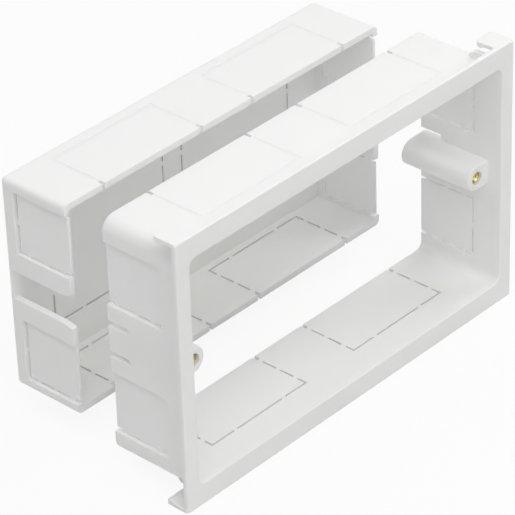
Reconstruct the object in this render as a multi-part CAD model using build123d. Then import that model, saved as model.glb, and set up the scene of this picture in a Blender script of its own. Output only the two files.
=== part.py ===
from build123d import *
import os

os.makedirs("parts", exist_ok=True)

# A back box for dado trunking: a front frame, a rear box that slides into it, and brass screw inserts.
# Millimetres. X runs along the length, +Y goes in behind the flange, +Z is up.
# The origin is midway between the two socket screws, on the plane of the inserts' faces.

# Opening, flange and tube of the front frame
screw_spacing = 120.6
screw_to_end_wall = 4.9
opening_height = 72.5
opening_corner_radius = 2.5
stile_width = 5.05
rail_width = 7.0
flange_thickness = 1.5
flange_corner_radius = 1.0
flange_edge_radius = 0.4
frame_wall = 1.8
frame_depth = 30.0

# Screw bosses and their brass inserts
boss_radius = 4.1
boss_recess = 5.0
boss_floor = 2.0
boss_edge_radius = 0.5
insert_recess = 1.0
insert_radius = 2.1
insert_length = 8.0
insert_chamfer = 0.3
thread_bore_radius = 1.45
screw_room_radius = 1.9

# Slots in the frame's end walls, one above and one below each boss
relief_slot_height = 1.8
relief_slot_length = 7.5

# Clip tongues and ribs at the flange's corners
tongue_width = 7.3
tongue_thickness = 1.1
tongue_length = 6.7
tongue_corner_radius = 1.0
barb_height = 0.7
barb_length = 2.9
barb_lead = 1.8
rib_width = 2.0
rib_height = 2.0
rib_length = 8.0
rib_chamfer = 1.0
rib_inset = 3.1

# Knockouts, with the same outline in both mouldings
knockout_length = 39.0
knockout_spacing = 60.0
knockout_depth = 20.0
slit_width = 0.6
slit_web = 0.5
score_width = 0.8
score_depth = 0.08
slit_bridge = 1.5
bridge_spacing = 20.0
corner_slit = 3.1
notch_width = 1.0
notch_length = 2.0
end_knockout_height = 20.0
end_knockout_spacing = 42.0
panel_recess = 1.0

# Rear box, and how far it stands behind the frame
end_clearance = 0.25
top_clearance = 2.0
rear_depth = 24.7
rear_wall = 2.0
rear_edge_radius = 1.6
rear_standoff = 16.5
boss_slot_clearance = 0.6
mouth_flare = 0.8
mouth_length = 5.0

# Knockouts in the back of the rear box
back_knockout_length = 46.0
back_knockout_height = 42.0
back_knockout_spacing = 54.0
back_slit_count = 4

# How far a cut runs past the surface that it opens
overcut = 1.0

# Places worked out from the sizes above
boss_x = screw_spacing / 2
half_opening = boss_x + screw_to_end_wall
half_opening_height = opening_height / 2
half_flange = half_opening + stile_width
half_flange_height = half_opening_height + rail_width
frame_outer = half_opening + frame_wall
frame_outer_height = half_opening_height + frame_wall
boss_face = -insert_recess
flange_front = boss_face - boss_recess
flange_middle = flange_front + flange_thickness / 2
flange_back = flange_front + flange_thickness
frame_rear = flange_front + frame_depth
rear_half_length = half_opening - end_clearance
rear_half_height = half_opening_height - top_clearance
rear_front = frame_rear + rear_standoff
rear_back = rear_front + rear_depth
rear_floor = rear_back - rear_wall


def slab(sketch, y_start, y_end):
    """A sketch in X and Z, extruded from y_start back to y_end."""
    return extrude(Plane.XZ.offset(-y_start) * sketch, amount=y_start - y_end)


def bar(sketch, x_start, x_end):
    """A sketch in Y and Z, extruded from x_start to x_end."""
    return extrude(Plane.YZ.offset(x_start) * sketch, amount=x_end - x_start)


def both_ends(solid):
    """A solid and its mirror image at the other end of the box."""
    return solid + mirror(solid, about=Plane.YZ)


def all_corners(solid):
    """A solid at the right and top, and its three mirror images."""
    return both_ends(solid + mirror(solid, about=Plane.XY))


def rectangle(left, right, bottom, top):
    """A rectangle between two pairs of limits."""
    return Pos((left + right) / 2, (bottom + top) / 2) * Rectangle(right - left, top - bottom)


def side_slits():
    """Limits of the slits down a knockout's side, from its closed line to the notch at its open edge."""
    side_slit = (knockout_depth - corner_slit - 3 * slit_bridge - notch_length) / 2
    first = corner_slit + slit_bridge
    second = first + side_slit + slit_bridge
    return (0, corner_slit), (first, first + side_slit), (second, second + side_slit)


def knockout_slits():
    """Slits round a knockout in a long wall: its closed line lies on y = 0 and its open edge towards +y."""
    bridge_start = (bridge_spacing - slit_bridge) / 2
    bridge_end = (bridge_spacing + slit_bridge) / 2
    line_end = (knockout_length + slit_width) / 2
    half_slit = slit_width / 2
    sketch = rectangle(-bridge_start, bridge_start, -half_slit, half_slit)
    for side in (-1, 1):
        line = sorted((side * bridge_end, side * line_end))
        sketch += rectangle(*line, -half_slit, half_slit)
        x = side * knockout_length / 2
        for start, end in side_slits():
            sketch += rectangle(x - half_slit, x + half_slit, start, end)
    return sketch


def knockout_notches():
    """Notches in the open edge, at both sides of the same knockout."""
    half_notch = notch_width / 2
    half = knockout_length / 2
    notch = rectangle(-half_notch, half_notch, knockout_depth - notch_length, knockout_depth + overcut)
    return Pos(-half, 0) * notch + Pos(half, 0) * notch


def knockout_score():
    """The shallow line scored outside along the same knockout's three closed sides."""
    half_score = score_width / 2
    half = knockout_length / 2
    open_end = knockout_depth + overcut
    outer = rectangle(-half - half_score, half + half_score, -half_score, open_end)
    return outer - rectangle(half_score - half, half - half_score, half_score, open_end)


def wall_knockouts(line_y, turn, outer_z):
    """Cutter for the knockouts in the top and bottom walls: slits inside, scores outside, notches."""
    cutter = extrude(knockout_slits(), amount=outer_z - slit_web, both=True)
    cutter += extrude(knockout_notches(), amount=outer_z + overcut, both=True)
    score = Pos(0, 0, outer_z - score_depth) * extrude(knockout_score(), amount=score_depth + overcut)
    cutter += score + mirror(score, about=Plane.XY)
    return both_ends(Pos(knockout_spacing / 2, line_y) * Rot(0, 0, turn) * cutter)


def end_knockouts(line_y, turn, outer_x, wall):
    """Cutter for the sunk knockouts in both end walls, with slits on three sides and open notches."""
    half = end_knockout_height / 2
    open_end = knockout_depth + overcut
    slits = Sketch()
    for side in (-1, 1):
        line = sorted((side * half, side * slit_bridge / 2))
        edge = sorted((side * half, side * (half - slit_width)))
        notch = sorted((side * half, side * (half - notch_width)))
        slits += rectangle(0, slit_width, *line)
        for start, end in side_slits():
            slits += rectangle(start, end, *edge)
        slits += rectangle(knockout_depth - notch_length, open_end, *notch)
    place = Pos(line_y, end_knockout_spacing / 2) * Rot(0, 0, turn)
    past = outer_x + overcut
    cutter = bar(place * rectangle(0, open_end, -half, half), outer_x - panel_recess, past)
    cutter += bar(place * slits, outer_x - wall - overcut, past)
    return all_corners(cutter)


def make_front_frame():
    """Flange, tube, bosses, clips and knockouts, as one moulding."""
    opening = RectangleRounded(2 * half_opening, opening_height, opening_corner_radius)
    plate = RectangleRounded(2 * half_flange, 2 * half_flange_height, flange_corner_radius)
    flange = slab(plate - opening, flange_front, flange_back)
    frame = fillet(flange.faces().sort_by(Axis.Y)[0].edges(), flange_edge_radius)
    frame += slab(offset(opening, frame_wall) - opening, flange_middle, frame_rear)
    frame += all_corners(clip_tongue() + clip_rib())
    frame += both_ends(boss())
    frame -= all_corners(relief_slot())
    line_y = frame_rear - knockout_depth
    frame -= wall_knockouts(line_y, 0, frame_outer_height)
    frame -= end_knockouts(line_y, 0, frame_outer, frame_wall)
    return frame


def clip_tongue():
    """A springy tongue behind the flange's edge, with a barb on its inner side and two round corners."""
    inner_z = half_flange_height - tongue_thickness
    end = flange_back + tongue_length
    profile = Polyline((flange_middle, half_flange_height), (end, half_flange_height), (end, inner_z),
                       (end - barb_lead, inner_z - barb_height), (end - barb_length, inner_z),
                       (flange_middle, inner_z), close=True)
    tongue = bar(make_face(profile), half_flange - tongue_width, half_flange)
    tip_edges = tongue.edges().filter_by(Axis.Z).group_by(Axis.Y)[-1]
    return fillet(tip_edges, tongue_corner_radius)


def clip_rib():
    """A rib on the tube's corner that holds the trunking's lip against the tongue."""
    inner_z = half_opening_height + frame_wall / 2
    outer_z = frame_outer_height + rib_height
    end = flange_back + rib_length
    profile = Polyline((flange_middle, inner_z), (flange_middle, outer_z), (end - rib_chamfer, outer_z),
                       (end, outer_z - rib_chamfer), (end, inner_z), close=True)
    outer_x = frame_outer - rib_inset
    return bar(make_face(profile), outer_x - rib_width, outer_x)


def boss():
    """The right-hand boss, flat to the end wall, with the insert's seat and room for a long screw."""
    centre = Pos(boss_x, 0)
    outline = centre * Circle(boss_radius)
    outline += rectangle(boss_x, half_opening + frame_wall / 2, -boss_radius, boss_radius)
    solid = slab(outline, boss_face, frame_rear)
    rim = solid.faces().sort_by(Axis.Y)[0].edges().sort_by(Axis.X)[:-1]
    solid = fillet(rim, boss_edge_radius)
    solid -= slab(centre * Circle(insert_radius), boss_face, insert_length)
    return solid - slab(centre * Circle(screw_room_radius), boss_face, frame_rear - boss_floor)


def relief_slot():
    """Cutter for a slot through the end wall along the boss's flat, open to the rear edge."""
    outline = rectangle(frame_rear - relief_slot_length, frame_rear + overcut,
                        boss_radius, boss_radius + relief_slot_height)
    return bar(outline, half_opening - frame_wall / 2, frame_outer + overcut)


def make_rear_box():
    """Open-fronted box with boss slots and knockouts, as one moulding."""
    length = 2 * rear_half_length
    height = 2 * rear_half_height
    box = slab(RectangleRounded(length, height, rear_edge_radius), rear_front, rear_back)
    box = fillet(box.faces().sort_by(Axis.Y)[-1].edges(), rear_edge_radius)
    box -= slab(Rectangle(length - 2 * rear_wall, height - 2 * rear_wall), rear_front, rear_floor)
    box -= boss_slots()
    line_y = rear_front + knockout_depth
    box -= wall_knockouts(line_y, 180, rear_half_height)
    box -= end_knockouts(line_y, 180, rear_half_length, rear_wall)
    box -= slab(back_slits(), rear_floor - overcut, rear_back - slit_web)
    box -= slab(back_scores(), rear_back - score_depth, rear_back + overcut)
    return box


def boss_slots():
    """Cutter for the slots in both end walls that pass the bosses, with a rounded lead-in at the mouth."""
    half = boss_radius + boss_slot_clearance
    mouth = half + mouth_flare
    throat = rear_front + mouth_length
    before = rear_front - overcut
    upper = Polyline((rear_floor, 0), (rear_floor, half), (throat, half))
    upper += TangentArc((throat, half), (rear_front, mouth), tangent=(-1, 0))
    upper += Polyline((rear_front, mouth), (before, mouth), (before, 0), (rear_floor, 0))
    outline = make_face(upper)
    outline += mirror(outline, about=Plane.XZ)
    reach = rear_half_length + overcut
    return bar(outline, -reach, reach)


def broken_line(length):
    """Slits and the bridges between them, as limits along a line about its middle."""
    pitch = length / back_slit_count
    starts = [i * pitch - length / 2 for i in range(back_slit_count)]
    return [(start + slit_bridge / 2, start + pitch - slit_bridge / 2) for start in starts]


def back_slits():
    """Outlines of the two knockouts in the back, as slits in X and Z cut from inside."""
    half_slit = slit_width / 2
    outline = Sketch()
    for side in (-1, 1):
        z = side * back_knockout_height / 2
        for start, end in broken_line(back_knockout_length):
            outline += rectangle(start, end, z - half_slit, z + half_slit)
        x = side * back_knockout_length / 2
        for start, end in broken_line(back_knockout_height):
            outline += rectangle(x - half_slit, x + half_slit, start, end)
    return back_pair(outline)


def back_scores():
    """The shallow lines scored outside round the same two knockouts."""
    outer = Rectangle(back_knockout_length + score_width, back_knockout_height + score_width)
    inner = Rectangle(back_knockout_length - score_width, back_knockout_height - score_width)
    return back_pair(outer - inner)


def back_pair(sketch):
    """A sketch at both of the knockouts in the back."""
    half_spacing = back_knockout_spacing / 2
    return Pos(-half_spacing, 0) * sketch + Pos(half_spacing, 0) * sketch


def make_insert(side):
    """A brass bush with a tapped bore and a chamfered mouth, sunk below its boss's face."""
    ring = Circle(insert_radius) - Circle(thread_bore_radius)
    bush = slab(Pos(side * boss_x, 0) * ring, 0, insert_length)
    mouth = bush.faces().sort_by(Axis.Y)[0].edges().sort_by(SortBy.RADIUS)[0]
    return chamfer(mouth, insert_chamfer)


export_step(make_front_frame(), "parts/front_frame.step")
export_step(make_rear_box(), "parts/rear_box.step")
export_step(make_insert(-1), "parts/threaded_insert_left.step")
export_step(make_insert(1), "parts/threaded_insert_right.step")
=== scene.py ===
import math

import bpy
from mathutils import Euler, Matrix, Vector


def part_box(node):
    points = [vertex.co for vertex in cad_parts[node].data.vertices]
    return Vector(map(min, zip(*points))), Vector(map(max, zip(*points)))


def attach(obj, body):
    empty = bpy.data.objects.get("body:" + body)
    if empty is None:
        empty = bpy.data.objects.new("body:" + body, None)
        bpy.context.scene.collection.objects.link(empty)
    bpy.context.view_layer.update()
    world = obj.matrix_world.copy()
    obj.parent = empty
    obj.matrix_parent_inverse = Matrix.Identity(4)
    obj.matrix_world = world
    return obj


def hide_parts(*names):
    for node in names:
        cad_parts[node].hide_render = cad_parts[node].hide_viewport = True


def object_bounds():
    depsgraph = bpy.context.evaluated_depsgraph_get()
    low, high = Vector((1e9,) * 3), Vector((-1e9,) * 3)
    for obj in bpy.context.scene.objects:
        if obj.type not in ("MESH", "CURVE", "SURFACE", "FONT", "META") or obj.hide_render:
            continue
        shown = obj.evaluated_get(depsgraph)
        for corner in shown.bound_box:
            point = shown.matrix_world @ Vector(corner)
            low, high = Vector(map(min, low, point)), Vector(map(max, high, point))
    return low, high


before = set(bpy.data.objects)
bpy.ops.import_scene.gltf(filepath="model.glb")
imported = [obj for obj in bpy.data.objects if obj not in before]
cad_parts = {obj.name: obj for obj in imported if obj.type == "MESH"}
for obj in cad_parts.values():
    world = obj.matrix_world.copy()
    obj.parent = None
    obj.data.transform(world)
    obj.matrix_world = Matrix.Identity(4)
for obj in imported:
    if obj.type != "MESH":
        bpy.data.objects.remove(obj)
cad_low, cad_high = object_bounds()


# Front frame
# One white moulding: the flange, its tube, the screw bosses, the corner clips and the knockouts.
# Semi-gloss plastic from a polished tool, which pulls off along Y and leaves faint streaks that way.

plastic_white = (0.96, 0.96, 0.95, 1.0)
plastic_shade = (0.94, 0.94, 0.93, 1.0)
cloud_scale = 42.0
plastic_specular = 0.45
frame_roughness = 0.36
polish_below = 0.05
polish_above = 0.06
streak_scale = (520.0, 24.0, 520.0)
streak_low = 0.3
streak_high = 0.7
light_share = 0.5
light_depth = 0.0012
light_reach = (1.0, 0.97, 0.9)
edge_softness = 0.00005
grain_scale = 2600.0
grain_strength = 0.12
grain_height = 0.00004


def add_node(tree, kind, **settings):
    """A shader node with its sockets set by name: spaces in a socket's name are written as underscores."""
    node = tree.nodes.new(kind)
    for name, value in settings.items():
        node.inputs[name.replace("_", " ")].default_value = value
    return node


def moulded_plastic(name, roughness):
    """White plastic that light enters a little: cloudy tone, gloss streaked along the pull, fine grain."""
    material = bpy.data.materials.new(name)
    material.use_nodes = True
    tree = material.node_tree
    link = tree.links.new
    shader = tree.nodes["Principled BSDF"]
    shader.inputs["Specular IOR Level"].default_value = plastic_specular
    shader.inputs["Subsurface Weight"].default_value = light_share
    shader.inputs["Subsurface Radius"].default_value = light_reach
    shader.inputs["Subsurface Scale"].default_value = light_depth
    place = add_node(tree, "ShaderNodeTexCoord")

    cloud = add_node(tree, "ShaderNodeTexNoise", Scale=cloud_scale, Detail=4.0, Roughness=0.55)
    tone = add_node(tree, "ShaderNodeMix")
    tone.data_type = "RGBA"
    tone.inputs["A"].default_value = plastic_white
    tone.inputs["B"].default_value = plastic_shade
    link(place.outputs["Object"], cloud.inputs["Vector"])
    link(cloud.outputs["Fac"], tone.inputs["Factor"])
    link(tone.outputs["Result"], shader.inputs["Base Color"])

    pull = add_node(tree, "ShaderNodeMapping", Scale=streak_scale)
    streak = add_node(tree, "ShaderNodeTexNoise", Scale=1.0, Detail=2.0)
    gloss = add_node(tree, "ShaderNodeMapRange", From_Min=streak_low, From_Max=streak_high)
    gloss.inputs["To Min"].default_value = roughness - polish_below
    gloss.inputs["To Max"].default_value = roughness + polish_above
    link(place.outputs["Object"], pull.inputs["Vector"])
    link(pull.outputs["Vector"], streak.inputs["Vector"])
    link(streak.outputs["Fac"], gloss.inputs["Value"])
    link(gloss.outputs["Result"], shader.inputs["Roughness"])

    soft_edge = add_node(tree, "ShaderNodeBevel", Radius=edge_softness)
    grain = add_node(tree, "ShaderNodeTexNoise", Scale=grain_scale, Detail=3.0)
    relief = add_node(tree, "ShaderNodeBump", Strength=grain_strength, Distance=grain_height)
    link(place.outputs["Object"], grain.inputs["Vector"])
    link(grain.outputs["Fac"], relief.inputs["Height"])
    link(soft_edge.outputs["Normal"], relief.inputs["Normal"])
    link(relief.outputs["Normal"], shader.inputs["Normal"])
    return material


def wear(node_name, material):
    """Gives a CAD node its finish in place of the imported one."""
    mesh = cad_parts[node_name].data
    mesh.materials.clear()
    mesh.materials.append(material)


wear("front_frame", moulded_plastic("frame_plastic", frame_roughness))


# Screw inserts
# Turned brass bushes with an M3.5 thread, pressed into the warm bosses to 1 mm below their faces.
# The thread is a helix in the bore: its crests lie at the CAD bore's radius and its roots outside that.

brass_gold = (0.45, 0.39, 0.14, 1.0)
brass_bright = 0.16
brass_dull = 0.30
ring_scale = 2600.0
ring_waver = 0.4
ring_strength = 0.15
ring_height = 0.00001
crest_radius = 0.00145
thread_depth = 0.0003
thread_pitch = 0.0006
mouth_depth = 0.0004
rim_break = 0.0001
turn_steps = 48
pitch_steps = 6
sharp_angle = math.radians(30.0)


def turned_brass(name):
    """Bright brass with the fine rings that the turning tool leaves."""
    material = bpy.data.materials.new(name)
    material.use_nodes = True
    tree = material.node_tree
    link = tree.links.new
    shader = tree.nodes["Principled BSDF"]
    shader.inputs["Base Color"].default_value = brass_gold
    shader.inputs["Metallic"].default_value = 1.0
    place = add_node(tree, "ShaderNodeTexCoord")
    rings = add_node(tree, "ShaderNodeTexWave", Scale=ring_scale, Distortion=ring_waver)
    rings.wave_type = "RINGS"
    rings.rings_direction = "Y"
    gloss = add_node(tree, "ShaderNodeMapRange", To_Min=brass_bright, To_Max=brass_dull)
    relief = add_node(tree, "ShaderNodeBump", Strength=ring_strength, Distance=ring_height)
    link(place.outputs["Object"], rings.inputs["Vector"])
    link(rings.outputs["Fac"], gloss.inputs["Value"])
    link(gloss.outputs["Result"], shader.inputs["Roughness"])
    link(rings.outputs["Fac"], relief.inputs["Height"])
    link(relief.outputs["Normal"], shader.inputs["Normal"])
    return material


def thread_radius(depth, turn):
    """Radius of the tapped bore at a depth from its mouth and a share of one turn."""
    phase = (depth / thread_pitch - turn) % 1.0
    return crest_radius + thread_depth * (1.0 - abs(2.0 * phase - 1.0))


def bush_rings(outer, length):
    """Rings of points along the outside from back to front, over the face and back through the bore."""
    mouth = crest_radius + thread_depth + rim_break
    plain = [(length, outer), (rim_break, outer), (0.0, outer - rim_break), (0.0, mouth)]
    turns = [i / turn_steps for i in range(turn_steps)]
    rings = [[(depth, radius, turn) for turn in turns] for depth, radius in plain]
    count = round((length - mouth_depth) / thread_pitch * pitch_steps)
    for i in range(count + 1):
        depth = mouth_depth + (length - mouth_depth) * i / count
        rings.append([(depth, thread_radius(depth, turn), turn) for turn in turns])
    return rings


def bush_faces(ring_count):
    """Faces between each ring and the next, with the last ring joined to the first at the back."""
    faces = []
    for i in range(ring_count):
        here = i * turn_steps
        there = (i + 1) % ring_count * turn_steps
        for j in range(turn_steps):
            after = (j + 1) % turn_steps
            faces.append((here + j, here + after, there + after, there + j))
    return faces


def tapped_bush(name, node_name, material):
    """A threaded bush in the place of one CAD insert."""
    low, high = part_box(node_name)
    rings = bush_rings((high.x - low.x) / 2, high.y - low.y)
    points = []
    for ring in rings:
        for depth, radius, turn in ring:
            angle = 2.0 * math.pi * turn
            points.append((radius * math.cos(angle), depth, radius * math.sin(angle)))
    mesh = bpy.data.meshes.new(name)
    mesh.from_pydata(points, [], bush_faces(len(rings)))
    mesh.shade_smooth()
    mesh.set_sharp_from_angle(angle=sharp_angle)
    mesh.materials.append(material)
    bush = bpy.data.objects.new(name, mesh)
    bush.location = ((low.x + high.x) / 2, low.y, (low.z + high.z) / 2)
    bpy.context.scene.collection.objects.link(bush)
    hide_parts(node_name)
    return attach(bush, "frame")


insert_brass = turned_brass("insert_brass")
for side in ("left", "right"):
    tapped_bush(f"tapped_bush_{side}", f"threaded_insert_{side}", insert_brass)


# Rear box
# The other white moulding, open at the front: it slides over the bosses and deepens the frame.
# Its knockouts are slit from inside, so that only a thin web of plastic is left along their lines.

rear_roughness = 0.38

wear("rear_box", moulded_plastic("rear_plastic", rear_roughness))


# Floor and room
# A plain pale floor just under the frame's flange, matt, with the object's shadow on it.
# The room round it is seen as white and lights the object only a little.

pure_white = (1.0, 1.0, 1.0, 1.0)
floor_paint = (0.86, 0.86, 0.855, 1.0)
floor_whiteness = 0.9
floor_half = 8.0
floor_drop = 0.0001
room_strength = 0.05


def camera_or_mirror(tree):
    """1 for what the camera, a mirror or a window sees, and 0 for the light that falls on things."""
    path = add_node(tree, "ShaderNodeLightPath")
    seen = add_node(tree, "ShaderNodeMath")
    seen.operation = "MAXIMUM"
    either = add_node(tree, "ShaderNodeMath")
    either.operation = "MAXIMUM"
    tree.links.new(path.outputs["Is Camera Ray"], seen.inputs[0])
    tree.links.new(path.outputs["Is Glossy Ray"], seen.inputs[1])
    tree.links.new(seen.outputs["Value"], either.inputs[0])
    tree.links.new(path.outputs["Is Transmission Ray"], either.inputs[1])
    return either.outputs["Value"]


def pale_floor_material():
    """A matt white floor that the camera sees lifted towards white, with the shadow still in it."""
    material = bpy.data.materials.new("pale_floor")
    material.use_nodes = True
    tree = material.node_tree
    tree.nodes.remove(tree.nodes["Principled BSDF"])
    matt = add_node(tree, "ShaderNodeBsdfDiffuse", Color=floor_paint)
    white = add_node(tree, "ShaderNodeEmission", Color=pure_white, Strength=1.0)
    share = add_node(tree, "ShaderNodeMath")
    share.operation = "MULTIPLY"
    share.inputs[1].default_value = floor_whiteness
    mix = add_node(tree, "ShaderNodeMixShader")
    tree.links.new(camera_or_mirror(tree), share.inputs[0])
    tree.links.new(share.outputs["Value"], mix.inputs["Fac"])
    tree.links.new(matt.outputs["BSDF"], mix.inputs[1])
    tree.links.new(white.outputs["Emission"], mix.inputs[2])
    tree.links.new(mix.outputs["Shader"], tree.nodes["Material Output"].inputs["Surface"])
    return material


floor_level = cad_low.z - floor_drop
floor_corners = [
    (-floor_half, -floor_half, floor_level),
    (floor_half, -floor_half, floor_level),
    (floor_half, floor_half, floor_level),
    (-floor_half, floor_half, floor_level),
]
floor_mesh = bpy.data.meshes.new("floor")
floor_mesh.from_pydata(floor_corners, [], [(0, 1, 2, 3)])
floor_mesh.materials.append(pale_floor_material())
floor = bpy.data.objects.new("floor", floor_mesh)
bpy.context.scene.collection.objects.link(floor)

world = bpy.data.worlds.new("white_room")
bpy.context.scene.world = world
world.use_nodes = True
room_tree = world.node_tree
room_light = room_tree.nodes["Background"]
room_light.inputs["Color"].default_value = pure_white
room_light.inputs["Strength"].default_value = room_strength
room_white = add_node(room_tree, "ShaderNodeBackground", Color=pure_white, Strength=1.0)
room_mix = add_node(room_tree, "ShaderNodeMixShader")
room_tree.links.new(camera_or_mirror(room_tree), room_mix.inputs["Fac"])
room_tree.links.new(room_light.outputs["Background"], room_mix.inputs[1])
room_tree.links.new(room_white.outputs["Background"], room_mix.inputs[2])
room_tree.links.new(room_mix.outputs["Shader"], room_tree.nodes["World Output"].inputs["Surface"])


# Lamps
# Five large soft panels round the object, as in a light tent: four high ones and a low one in front.
# All stand at one distance and are aimed at the object, and azimuth 0 is in front of the flange.

object_centre = (cad_low + cad_high) / 2
panel_distance = 1.3
panel_size = 1.0
cool_white = (0.985, 0.985, 1.0)
warm_white = (1.0, 1.0, 0.94)


def soft_panel(name, azimuth, elevation, watts, colour):
    """A square area lamp that stands at these angles in degrees and is aimed at the object."""
    turn = math.radians(azimuth)
    lift = math.radians(elevation)
    reach = math.cos(lift)
    place = panel_distance * Vector((math.sin(turn) * reach, -math.cos(turn) * reach, math.sin(lift)))
    lamp = bpy.data.lights.new(name, "AREA")
    lamp.size = panel_size
    lamp.energy = watts
    lamp.color = colour
    panel = bpy.data.objects.new(name, lamp)
    panel.location = place
    panel.rotation_euler = (object_centre - place).to_track_quat("-Z", "Y").to_euler()
    bpy.context.scene.collection.objects.link(panel)


soft_panel("behind_left", azimuth=-135.0, elevation=55.0, watts=4.6, colour=cool_white)
soft_panel("right", azimuth=90.0, elevation=45.0, watts=7.0, colour=cool_white)
soft_panel("front_left", azimuth=-45.0, elevation=60.0, watts=5.5, colour=cool_white)
soft_panel("front_left_low", azimuth=-45.0, elevation=20.0, watts=1.7, colour=cool_white)
soft_panel("front", azimuth=0.0, elevation=50.0, watts=4.4, colour=warm_white)


# Camera
# Seen from above and to the left of the flange, from 0.9 m away through a long lens.
# Its place, aim, roll and lens were fitted to corners and edges of both mouldings in the photograph.

camera_place = Vector((-0.55767, -0.49090, 0.48146))
camera_aim = Vector((-0.01465, 0.01712, 0.00261))
camera_roll = math.radians(-1.99)
photo_pixels = 515.0
focal_pixels = 3176.2
sensor_width = 36.0

camera_data = bpy.data.cameras.new("camera")
camera_data.sensor_width = sensor_width
camera_data.lens = focal_pixels / photo_pixels * sensor_width
camera = bpy.data.objects.new("camera", camera_data)
camera.location = camera_place
aimed = (camera_aim - camera_place).to_track_quat("-Z", "Y")
camera.rotation_mode = "QUATERNION"
camera.rotation_quaternion = aimed @ Euler((0.0, 0.0, camera_roll)).to_quaternion()
bpy.context.scene.collection.objects.link(camera)
bpy.context.scene.camera = camera
bpy.context.scene.view_settings.view_transform = "Standard"
